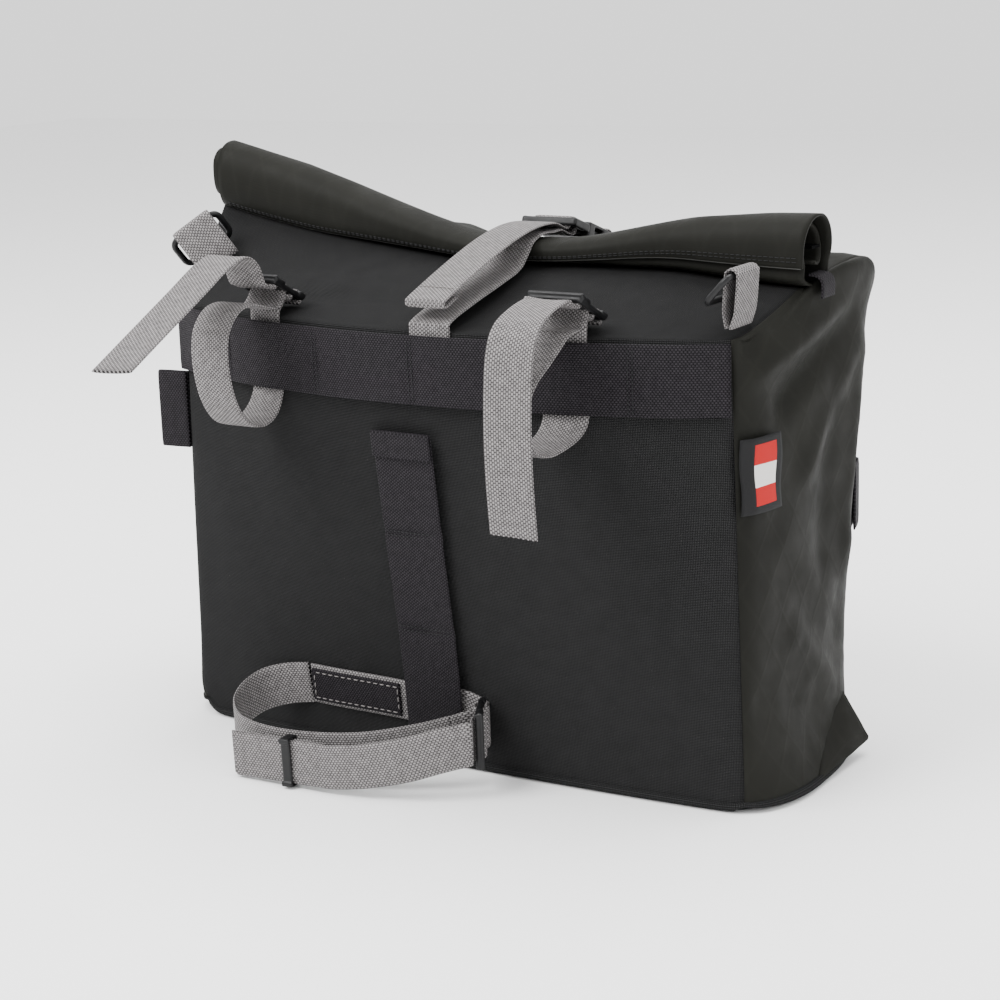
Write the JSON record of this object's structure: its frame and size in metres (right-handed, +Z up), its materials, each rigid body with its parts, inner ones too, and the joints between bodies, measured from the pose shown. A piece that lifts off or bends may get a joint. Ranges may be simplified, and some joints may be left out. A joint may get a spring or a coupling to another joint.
{
  "type": "roll-top pannier bag",
  "caption": "Roll-top pannier bag with handlebar straps in ladder-lock buckles, a closure strap over the roll, side rings and a lower strap with a keeper.",
  "frame": {"origin": "centre of the base, on the surface the bag stands on", "axes": "+X to the bag's right as seen from its strap side, -Y out of the strap side, +Z up"},
  "size_m": [0.4188, 0.3124, 0.3442],
  "materials": {
    "cordura": "coarse woven, matt",
    "laminate": "coated sailcloth, slight sheen",
    "black_web": "ribbed webbing",
    "grey_web": "ribbed webbing",
    "black_plastic": "moulded, satin",
    "label_red": "woven label"
  },
  "bodies": {
    "bag": {"back_panel": "cordura", "front_panel": "laminate", "right_side_panel": "laminate", "left_side_panel": "laminate", "base_panel": "cordura", "right_corner_fold": "laminate", "left_corner_fold": "laminate", "back_stiffener": "black_plastic", "base_stiffener": "black_plastic", "collar": "laminate", "level_webbing": "black_web", "upright_webbing": "black_web", "right_buckle_anchor": "grey_web", "right_strap_loop": "grey_web", "left_buckle_anchor": "grey_web", "left_strap_loop": "grey_web", "closure_strap_back": "grey_web", "front_anchor_strap": "grey_web", "lower_strap_anchor": "grey_web", "lower_strap_patch": "black_web", "lower_strap_loop": "grey_web", "right_side_loop": "grey_web", "left_side_loop": "grey_web", "left_side_tab": "black_web", "front_side_tab": "black_web", "seam_label": "label_red"},
    "roll": {"roll_top": "laminate", "roll_stiffener": "black_plastic", "closure_strap_over": "grey_web", "closure_socket": "black_plastic"},
    "closure_insert": {"closure_insert": "black_plastic", "closure_strap_thread": "grey_web", "closure_tail": "grey_web"},
    "right_buckle": {"right_buckle": "black_plastic", "right_strap_thread": "grey_web"},
    "right_tail": {"right_strap_tail": "grey_web"},
    "left_buckle": {"left_buckle": "black_plastic", "left_strap_thread": "grey_web"},
    "left_tail": {"left_strap_tail": "grey_web"},
    "right_ring": {"right_ring": "black_plastic"},
    "left_ring": {"left_ring": "black_plastic"},
    "lower_buckle": {"lower_buckle": "black_plastic", "lower_strap_thread": "grey_web", "lower_strap_tail": "grey_web"},
    "strap_keeper": {"strap_keeper": "black_plastic"}
  },
  "joints": [
    {"name": "roll_lift", "type": "slide", "parent": "bag", "child": "roll", "axis": [0, 0, 1], "range_m": [0, 0.05], "deforming": ["collar", "closure_strap_back", "front_anchor_strap"]},
    {"name": "closure_release", "type": "slide", "parent": "roll", "child": "closure_insert", "axis": [0, -0.9397, 0.342], "range_m": [0, 0.024], "deforming": ["closure_strap_over"]},
    {"name": "right_buckle_tilt", "type": "hinge", "parent": "bag", "child": "right_buckle", "pos_m": [0.097, -0.07863, 0.264], "axis": [-1, 0, 0], "range_deg": [0, 20]},
    {"name": "right_tail_swing", "type": "hinge", "parent": "right_buckle", "child": "right_tail", "pos_m": [0.097, -0.10459, 0.27396], "axis": [-1, 0, 0], "range_deg": [0, 45]},
    {"name": "right_ring_swing", "type": "hinge", "parent": "bag", "child": "right_ring", "pos_m": [0.18212, -0.061, 0.28771], "axis": [0, 1, 0], "range_deg": [0, 60]},
    {"name": "left_buckle_tilt", "type": "hinge", "parent": "bag", "child": "left_buckle", "pos_m": [-0.097, -0.07863, 0.264], "axis": [-1, 0, 0], "range_deg": [0, 20]},
    {"name": "left_tail_swing", "type": "hinge", "parent": "left_buckle", "child": "left_tail", "pos_m": [-0.097, -0.10459, 0.27396], "axis": [-1, 0, 0], "range_deg": [0, 30]},
    {"name": "left_ring_swing", "type": "hinge", "parent": "bag", "child": "left_ring", "pos_m": [-0.18076, -0.05037, 0.29597], "axis": [0.6113, 0.5591, 0.5601], "range_deg": [0, 60]},
    {"name": "lower_buckle_turn", "type": "hinge", "parent": "bag", "child": "lower_buckle", "pos_m": [0.0345, -0.088, 0.0325], "axis": [0, 0, 1], "range_deg": [0, 10]},
    {"name": "keeper_slide", "type": "slide", "parent": "lower_buckle", "child": "strap_keeper", "axis": [0.9991, 0.0312, 0.0281], "range_m": [-0.024, 0.02]}
  ]
}
